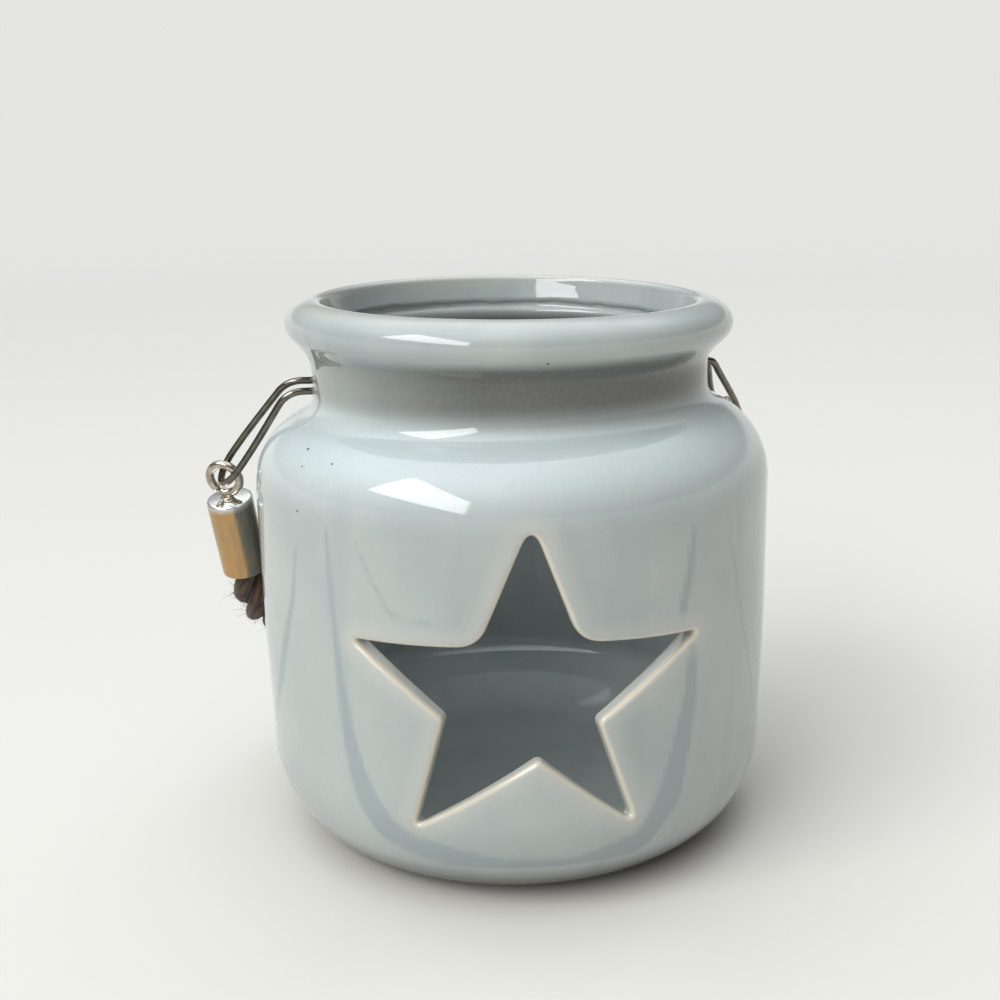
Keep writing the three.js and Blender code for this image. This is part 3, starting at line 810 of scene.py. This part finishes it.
def loop_points(hole, reach, bend, lean, droop, twist, stack):
    """Centre line of a wire link, from the tail of one leg round the tip to the tail of the other."""
    side, height, turn = hole
    tilt, fall, roll = (math.radians(a) for a in (lean, droop, twist))
    radial = np.array((side, 0.0, 0.0))
    down = np.array((0.0, math.sin(tilt), -math.cos(tilt)))
    across = np.array((0.0, math.cos(tilt), math.sin(tilt)))
    face = radial * math.sin(fall) - down * math.cos(fall)
    in_hole = np.array((0.0, math.cos(math.radians(stack)), math.sin(math.radians(stack))))
    at_tip = across * math.cos(roll) + face * math.sin(roll)
    widest = LOOP_START + LOOP_LENGTH * LOOP_CLOSES_AT

    def offset(along):
        share = (along - LOOP_START) / LOOP_LENGTH
        closing = np.clip((share - LOOP_CLOSES_AT) / (1 - LOOP_CLOSES_AT), 0.0, 1.0)
        widening = smoothstep(along, LOOP_WIDENS_FROM, widest)
        width = LEG_HALF_GAP + (LOOP_HALF_WIDTH - LEG_HALF_GAP) * widening
        turning = smoothstep(along, LOOP_WIDENS_FROM, LOOP_WIDENS_FROM + LOOP_TWIST_LENGTH)
        direction = unit(in_hole + (at_tip - in_hole) * turning)
        return direction * width * math.sqrt(1 - closing**LOOP_CLOSING_POWER)

    def centre(along):
        angle = np.clip((along - reach) / bend, 0.0, fall)
        past = max(along - reach - bend * fall, 0.0)
        out = min(along, reach) + bend * math.sin(angle) + past * math.cos(fall)
        drop = bend * (1 - math.cos(angle)) + past * math.sin(fall)
        return np.array((0.0, 0.0, height)) + radial * out + down * drop

    def leg(sign):
        tail = [centre(out) + in_hole * sign * (LEG_HALF_GAP + spread) for out, spread in TAIL]
        steps = LOOP_START + LOOP_LENGTH * np.sin(np.pi / 2 * np.arange(LEG_POINTS) / LEG_POINTS)
        return tail[::-1] + [centre(along) + sign * offset(along) for along in steps]

    line = leg(1) + [centre(LOOP_START + LOOP_LENGTH)] + leg(-1)[::-1]
    return np.array(line) @ np.array(Matrix.Rotation(math.radians(turn), 3, "Z")).T


def make_link(name, loop, node, body, material):
    line, _ = respaced(catmull(loop_points(**loop), WIRE_STEPS), WIRE_RADIUS / 2)
    verts, faces = rounded_tube(line, WIRE_RADIUS, WIRE_SIDES)
    add_mesh(name, verts, faces, material, body, "wire", node)


def make_ring(name, centre, normal, axis, node, material):
    """A ring of thick wire, bent round until its ends nearly meet where it is soldered to the cap."""
    facing = (normal - axis * normal.dot(axis)).normalized()
    across = facing.cross(axis)
    half_gap = math.radians(RING_GAP) / 2
    turn = math.radians(RING_SEAM) + np.linspace(half_gap, 2 * np.pi - half_gap, RING_STEPS)
    spokes = np.outer(np.cos(turn), axis) + np.outer(np.sin(turn), across)
    verts, faces = rounded_tube(np.array(centre) + RING_RADIUS * spokes, RING_WIRE_RADIUS, RING_SIDES)
    add_mesh(name, verts, faces, material, "handle", "ring", node)


def make_cap(name, ring_centre, axis, node, material):
    """A turned cup with a rounded edge, a pool of solder under the ring and a bore for the rope."""
    solder = np.linspace(SOLDER_START, SOLDER_RADIUS, SOLDER_ROWS)
    mound = -SOLDER_HEIGHT * (1 - smoothstep(solder, SOLDER_CROWN, SOLDER_RADIUS))
    lip, bore_floor = CAP_LENGTH - CAP_LIP, CAP_LENGTH - CAP_BORE_DEPTH
    side = np.linspace(CAP_EDGE + CAP_SIDE_MARGIN, lip - CAP_SIDE_MARGIN, CAP_SIDE_ROWS)
    profile = np.vstack((
        np.stack((solder, mound), axis=1),
        arc((CAP_RADIUS - CAP_EDGE, CAP_EDGE), CAP_EDGE, -90.0, 0.0)[::2],
        np.stack((np.full(CAP_SIDE_ROWS, CAP_RADIUS), side), axis=1),
        arc((CAP_RADIUS - CAP_LIP, lip), CAP_LIP, 0.0, 90.0),
        arc((CAP_BORE_RADIUS + CAP_LIP, lip), CAP_LIP, 90.0, 180.0),
        [(CAP_BORE_RADIUS, bore_floor), (CAP_BORE_RADIUS / 2, bore_floor)],
    ))
    turn = 2 * np.pi * np.arange(CAP_SEGMENTS) / CAP_SEGMENTS
    out = axis.orthogonal().normalized()
    spokes = np.outer(np.cos(turn), out) + np.outer(np.sin(turn), axis.cross(out))
    start = np.array(ring_centre + axis * RING_TO_CAP)
    verts = np.vstack([start + np.array(axis) * height + spokes * radius for radius, height in profile])
    faces = [face[::-1] for face in ring_faces(len(profile), CAP_SEGMENTS)]
    cap = add_mesh(name, verts, faces, material, "handle", "cap", node)
    dulled = smoothstep(profile[:, 1], *DULL_HEIGHTS)
    # Painted reflection: a brown colour on the side of the cap that faces front left.
    brown_reflection = smoothstep(spokes @ np.array(BROWN_REFLECTION_SIDE), *BROWN_REFLECTION_FACING)
    add_attribute(cap, "dulled", np.repeat(dulled, CAP_SEGMENTS))
    add_attribute(cap, "brown_reflection", np.outer(dulled, brown_reflection).ravel())


def rope_line():
    """The rope's centre line from inside one cap to inside the other, and the length run along it."""
    reach = RING_TO_CAP + CAP_LENGTH
    ends = []
    for centre, axis in ((LEFT_RING_CENTRE, LEFT_CAP_AXIS), (RIGHT_RING_CENTRE, RIGHT_CAP_AXIS)):
        mouth = centre + axis * reach
        ends.append([tuple(mouth - axis * depth) for depth in (ROPE_IN_CAP, ROPE_IN_CAP / 2, 0.0)])
    return respaced(catmull(ends[0] + ROPE_ROUTE + ends[1][::-1], ROPE_SPAN_STEPS), ROPE_STEP)


def make_rope(material, fibre_material):
    """Three strands laid round each other, each of twisted yarns, with loose fibres standing off them."""
    line, run = rope_line()
    normals, others = transported(line)
    helix = ROPE_RADIUS - STRAND_RADIUS
    angles = 2 * np.pi * np.arange(STRAND_SIDES) / STRAND_SIDES
    twist = angles[None, :] + 2 * np.pi * run[:, None] / YARN_PITCH / YARNS
    yarn = np.abs(np.cos(YARNS / 2 * twist))
    width = STRAND_RADIUS - YARN_DEPTH * (1 - yarn) ** 2
    # Painted shade: yarns darken in their grooves and where the strands turn inwards.
    ridge_light = yarn * (RIDGE_LIGHT_INWARD + (1 - RIDGE_LIGHT_INWARD) * np.cos(angles))
    verts, faces, strands = [], [], []
    for strand in range(ROPE_STRANDS):
        phase = 2 * np.pi * (run / ROPE_PITCH + strand / ROPE_STRANDS)
        out = normals * np.cos(phase)[:, None] + others * np.sin(phase)[:, None]
        centre = line + helix * out
        tangents = unit(np.gradient(centre, axis=0))
        side = np.cross(tangents, out)
        spokes = out[:, None] * np.cos(angles)[:, None] + side[:, None] * np.sin(angles)[:, None]
        faces += ring_faces(len(line), STRAND_SIDES, start=strand * len(line) * STRAND_SIDES)
        verts.append((centre[:, None] + width[..., None] * spokes).reshape(-1, 3))
        strands.append((centre, tangents, out, side))
    rope = add_mesh("twisted_rope", np.vstack(verts), faces, material, "handle", "rope", "rope_handle")
    add_attribute(rope, "ridge_light", np.tile(ridge_light.ravel(), ROPE_STRANDS))
    fibres = make_fibres(strands, fibre_material)


def make_fibres(strands, material):
    """Short loose fibres that stand off the outer side of the strands between the caps."""
    chance = random.Random(FIBRE_SEED)
    hidden = round(ROPE_IN_CAP / ROPE_STEP) + FIBRE_CLEAR_STEPS
    shares = np.linspace(0.0, 1.0, FIBRE_POINTS)
    turns = 2 * np.pi * np.arange(FIBRE_SIDES) / FIBRE_SIDES
    verts, faces = [], []
    for _ in range(FIBRE_COUNT):
        centre, tangents, out, side = strands[chance.randrange(ROPE_STRANDS)]
        i = chance.randrange(hidden, len(centre) - hidden)
        angle = chance.gauss(0.0, FIBRE_SPREAD)
        away = out[i] * math.cos(angle) + side[i] * math.sin(angle)
        root = centre[i] + away * (STRAND_RADIUS - FIBRE_ROOT)
        length = chance.uniform(*FIBRE_LENGTH)
        lean = tangents[i] * chance.uniform(-FIBRE_LEAN, FIBRE_LEAN)
        lean = lean + np.cross(tangents[i], away) * chance.uniform(-FIBRE_SIDEWAYS, FIBRE_SIDEWAYS)
        curl = np.array([chance.uniform(-FIBRE_CURL, FIBRE_CURL) for _ in range(3)])
        heading, across = unit(away * FIBRE_LIFT + lean), np.cross(away, tangents[i])
        faces += ring_faces(FIBRE_POINTS, FIBRE_SIDES, start=len(verts))
        for s in shares:
            point = root + (heading * s + curl * s * s) * length
            width = FIBRE_RADIUS * (1 - FIBRE_TAPER * s)
            verts += [point + width * (across * math.cos(t) + tangents[i] * math.sin(t)) for t in turns]
    return add_mesh("rope_fibres", verts, faces, material, "handle", "rope")


class Nodes:
    """A node tree under construction."""

    def __init__(self, tree):
        self.tree = tree

    def node(self, kind, inputs=(), **settings):
        made = self.tree.nodes.new(kind)
        for name, value in settings.items():
            setattr(made, name, value)
        for socket, value in dict(inputs).items():
            self.feed(made.inputs[socket], value)
        return made

    def feed(self, socket, value):
        """Links another node's output to a socket, or sets the socket's own value."""
        if isinstance(value, bpy.types.NodeSocket):
            self.tree.links.new(value, socket)
        elif socket.type == "RGBA":
            socket.default_value = (*value, 1.0)
        else:
            socket.default_value = value

    def math(self, operation, first, second):
        return self.node("ShaderNodeMath", {0: first, 1: second}, operation=operation).outputs[0]

    def vector(self, operation, first, second=(0.0, 0.0, 0.0)):
        """A number from one or two vectors."""
        inputs = {0: first, 1: second}
        return self.node("ShaderNodeVectorMath", inputs, operation=operation).outputs["Value"]

    def share(self, value, low, high, to_low=0.0, to_high=1.0, ease="SMOOTHSTEP"):
        """Where a value lies between two limits, from 0 to 1 or between two other numbers."""
        inputs = {0: value, 1: low, 2: high, 3: to_low, 4: to_high}
        return self.node("ShaderNodeMapRange", inputs, interpolation_type=ease).outputs[0]

    def mix(self, share, first, second):
        inputs = {0: share, 6: first, 7: second}
        return self.node("ShaderNodeMix", inputs, data_type="RGBA").outputs[2]


class Look(Nodes):
    """A procedural material under construction. Its places are metres in the part's frame."""

    def __init__(self, name):
        self.material = bpy.data.materials.new(name)
        self.material.use_nodes = True
        super().__init__(self.material.node_tree)
        self.shader = self.tree.nodes["Principled BSDF"]
        self.place = self.node("ShaderNodeTexCoord").outputs["Object"]

    def set(self, inputs):
        for name, value in inputs.items():
            self.feed(self.shader.inputs[name], value)

    def noise(self, size, detail=2.0, stretch=None):
        """Soft noise whose blotches are about a size across, in millimetres, or longer where stretched."""
        place = self.place
        if stretch:
            place = self.node("ShaderNodeMapping", {"Vector": place, "Scale": stretch}).outputs["Vector"]
        inputs = {"Vector": place, "Scale": 1 / (size * MM), "Detail": detail}
        return self.node("ShaderNodeTexNoise", inputs).outputs["Fac"]

    def attribute(self, name):
        return self.node("ShaderNodeAttribute", attribute_name=name).outputs["Fac"]

    def along(self, axis):
        """The place along the part's X, Y or Z axis, in metres."""
        return self.node("ShaderNodeSeparateXYZ", {"Vector": self.place}).outputs[axis]

    def bump(self, height, depth, strength, under=None):
        """Relief as deep as a depth in millimetres."""
        inputs = {"Height": height, "Distance": depth * MM, "Strength": strength}
        if under:
            inputs["Normal"] = under
        return self.node("ShaderNodeBump", inputs).outputs["Normal"]


def glaze_material():
    """Glossy glaze: cloudy and streaked, bluer where thick, cream where it ran thin at the cuts, with
    painted shade on the foot and neck and a painted sheen on the shoulder.
    """
    look = Look("glaze")
    height = look.along("Z")

    def between(rising, falling):
        return look.math("MULTIPLY", look.share(height, *rising), look.share(height, *falling))

    clouds = look.noise(size=22.0, detail=3.0)
    streaks = look.noise(size=9.0, stretch=STREAK_STRETCH)
    grain = look.noise(size=0.9, detail=3.0)
    colour = look.mix(look.share(clouds, *SOFT), GLAZE_MIDDLE, GLAZE_PALE)
    colour = look.mix(look.share(streaks, 0.5, 0.72, 0.0, STREAK_AMOUNT), colour, GLAZE_BLUE)
    colour = look.mix(look.math("MULTIPLY", look.attribute("glaze_run"), RUN_AMOUNT), colour, GLAZE_BLUE)
    # Painted shade darkens the foot.
    colour = look.mix(look.share(height, *FOOT_PAINTED_SHADE, 0.0, FOOT_SHADE_AMOUNT), colour, GLAZE_PAINTED_SHADE)
    # Painted sheen lightens the shoulder, where the overhead light falls.
    shoulder_sheen = look.math("MULTIPLY", between(*SHOULDER_PAINTED_SHEEN), SHOULDER_SHEEN_AMOUNT)
    colour = look.mix(shoulder_sheen, colour, GLAZE_PAINTED_SHEEN)
    # Painted shade and a painted dark reflection on the neck under the bead, weaker towards the left.
    neck_shade_across = look.share(look.along("X"), *NECK_SHADE_ACROSS, *NECK_SHADE_AMOUNTS)
    colour = look.mix(look.math("MULTIPLY", between(*NECK_PAINTED_SHADE), neck_shade_across), colour, GLAZE_PAINTED_SHADE)
    colour = look.mix(look.share(height, *RIM_THIN, 0.0, RIM_AMOUNT), colour, GLAZE_THIN)
    colour = look.mix(look.share(grain, *SPECKLED, 0.0, GRAIN_AMOUNT), colour, GLAZE_BLUE)

    wander = look.share(look.noise(size=2.2), *SOFT, -EDGE_WANDER, EDGE_WANDER)
    edge = look.math("ADD", look.attribute("edge_distance"), wander)
    for start, full, amount, layer in EDGE_LAYERS:
        colour = look.mix(look.share(edge, start, full, 0.0, amount), colour, layer)
    for place, radius, mark in MARKS:
        apart = look.vector("DISTANCE", look.place, tuple(value * MM for value in place))
        colour = look.mix(look.share(apart, radius * MM, radius * MM / 2), colour, mark)
    bare = look.share(height, *BARE_FOOT)
    gloss = look.share(look.noise(size=6.0, detail=4.0), *SPECKLED, *GLAZE_ROUGHNESS)
    wavy = look.bump(look.noise(size=26.0, detail=1.0), depth=0.5, strength=0.35)
    look.set({
        "Base Color": look.mix(bare, colour, BISQUE),
        "Roughness": look.math("MAXIMUM", gloss, look.math("MULTIPLY", bare, BARE_ROUGHNESS)),
        "Normal": look.bump(grain, depth=0.01, strength=0.15, under=wavy),
        "IOR": GLAZE_IOR,
    })
    return look.material


def metal_look(name, roughness):
    """Polished metal with fine scratches, and its cloudy tarnish from 0 to 1."""
    look = Look(name)
    tarnish = look.share(look.noise(size=1.6, detail=4.0), *TARNISH)
    scratches = look.noise(size=0.25, stretch=SCRATCH_STRETCH)
    look.set({
        "Metallic": 1.0,
        "Roughness": look.share(tarnish, 0.0, 1.0, *roughness),
        "Normal": look.bump(scratches, depth=0.01, strength=0.2),
    })
    return look, tarnish


def wire_material(name, bright, dull):
    look, tarnish = metal_look(name, METAL_ROUGHNESS)
    look.set({"Base Color": look.mix(look.math("MULTIPLY", tarnish, 0.5), bright, dull)})
    return look.material


def cap_material():
    """Bright plating on the top, grey metal on the side where the plating wore away, and a painted brown
    reflection in streaks along the side that faces front left.
    """
    look, tarnish = metal_look("cap", CAP_ROUGHNESS)
    # The streaks and the brown colour are a painted reflection.
    streaks = look.share(look.noise(size=1.1, stretch=CAP_STRETCH), *SOFT, -CAP_STREAK, CAP_STREAK)
    worn_and_reflection = look.mix(look.math("ADD", look.attribute("brown_reflection"), streaks), CAP_GREY, CAP_PAINTED_REFLECTION)
    plating = look.mix(look.math("MULTIPLY", tarnish, 0.3), CAP_BRIGHT, CAP_GREY)
    look.set({"Base Color": look.mix(look.attribute("dulled"), plating, worn_and_reflection)})
    return look.material


def rope_material(name, dark, pale):
    """Matte fibre, with painted shade between the yarns and on the strands' inner sides, and uneven along
    the rope.
    """
    look = Look(name)
    uneven = look.share(look.noise(size=3.5, detail=4.0), *SOFT)
    # Painted shade in the grooves between yarns and on the strands' inner sides.
    lit = look.math("MULTIPLY", look.share(look.attribute("ridge_light"), 0.15, 0.95, 0.2, 1.0), uneven)
    look.set({
        "Base Color": look.mix(lit, dark, pale),
        "Roughness": ROPE_ROUGHNESS,
        "Sheen Weight": ROPE_SHEEN,
        "Normal": look.bump(look.noise(size=0.35, detail=3.0), depth=0.25, strength=0.6),
    })
    return look.material


def make_camera():
    right, up = Vector(CAMERA_RIGHT), Vector(CAMERA_UP)
    turn = Matrix((right, up, right.cross(up))).transposed().to_4x4()
    data = bpy.data.cameras.new("camera")
    data.lens = CAMERA_LENS
    data.sensor_width = CAMERA_SENSOR
    data.clip_start = CAMERA_NEAR
    camera = bpy.data.objects.new("camera", data)
    camera.matrix_world = Matrix.Translation(Vector(CAMERA_EYE) * MM) @ turn
    bpy.context.scene.collection.objects.link(camera)
    bpy.context.scene.camera = camera


def make_floor():
    """A plain pale floor that fades into the horizon far from the part, so that no line shows behind it."""
    turn = 2 * np.pi * np.arange(STAGE_SIDES) / STAGE_SIDES
    corners = [(STAGE_RADIUS * math.cos(a), STAGE_RADIUS * math.sin(a), 0.0) for a in turn]
    mesh = bpy.data.meshes.new("floor")
    mesh.from_pydata(corners, [], [tuple(range(STAGE_SIDES))])
    look = Look("floor")
    look.set({"Base Color": STAGE_COLOUR, "Roughness": STAGE_ROUGHNESS, "Specular IOR Level": STAGE_GLOSS})
    near, far = look.shader.outputs[0], look.node("ShaderNodeEmission", {"Color": HORIZON}).outputs[0]
    fade = look.share(look.vector("LENGTH", look.place), *STAGE_FADE)
    blend = look.node("ShaderNodeMixShader", {0: fade, 1: near, 2: far}).outputs[0]
    look.feed(look.tree.nodes["Material Output"].inputs["Surface"], blend)
    mesh.materials.append(look.material)
    floor = bpy.data.objects.new("floor", mesh)
    bpy.context.scene.collection.objects.link(floor)


def make_room():
    """The soft light of a room, by direction."""
    world = bpy.data.worlds.new("studio")
    world.use_nodes = True
    room = Nodes(world.node_tree)
    direction = room.node("ShaderNodeTexCoord").outputs["Generated"]
    upwards = room.node("ShaderNodeSeparateXYZ", {0: direction}).outputs["Z"]
    height = room.share(upwards, -1.0, 1.0, ease="LINEAR")
    ramps = []
    for light in (ROOM_LIGHT, ROOM_SHADE):
        ramp = room.node("ShaderNodeValToRGB", {0: height})
        stops = ramp.color_ramp.elements
        while len(stops) < len(light):
            stops.new(1.0)
        for stop, (place, colour) in zip(stops, light):
            stop.position = place
            stop.color = (*colour, 1.0)
        ramps.append(ramp.outputs[0])
    towards = room.vector("DOT_PRODUCT", direction, SHADE_TOWARDS)
    shade = room.share(towards, *SHADE_EDGE, ease="LINEAR")
    room.feed(room.tree.nodes["Background"].inputs["Color"], room.mix(shade, *ramps))
    bpy.context.scene.world = world


def make_window():
    """A large window to the left of the camera."""
    lamp = bpy.data.lights.new("window", "AREA")
    lamp.shape = "RECTANGLE"
    lamp.size, lamp.size_y = WINDOW_SIZE
    lamp.energy = WINDOW_WATTS
    window = bpy.data.objects.new("window", lamp)
    window.matrix_world = Matrix.Translation(WINDOW_PLACE) @ Matrix(WINDOW_TURN).to_4x4()
    bpy.context.scene.collection.objects.link(window)


bpy.context.scene.view_settings.view_transform = "Standard"
make_camera()
make_rope(rope_material("rope", ROPE_DARK, ROPE_PALE), rope_material("fibre", FIBRE_DARK, FIBRE_PALE))
make_jar(glaze_material())
wire = wire_material("wire", WIRE_BRIGHT, WIRE_DULL)
make_link("left_link_wire", LEFT_LOOP, "left_wire_link", "left_link", wire)
make_link("right_link_wire", RIGHT_LOOP, "right_wire_link", "right_link", wire)
ring = wire_material("ring", RING_BRIGHT, RING_DULL)
make_ring("left_ring_wire", LEFT_RING_CENTRE, LEFT_RING_NORMAL, LEFT_CAP_AXIS, "left_eye_ring", ring)
make_ring("right_ring_wire", RIGHT_RING_CENTRE, RIGHT_RING_NORMAL, RIGHT_CAP_AXIS, "right_eye_ring", ring)
cap = cap_material()
make_cap("left_rope_cap", LEFT_RING_CENTRE, LEFT_CAP_AXIS, "left_end_cap", cap)
make_cap("right_rope_cap", RIGHT_RING_CENTRE, RIGHT_CAP_AXIS, "right_end_cap", cap)
make_floor()
make_room()
make_window()
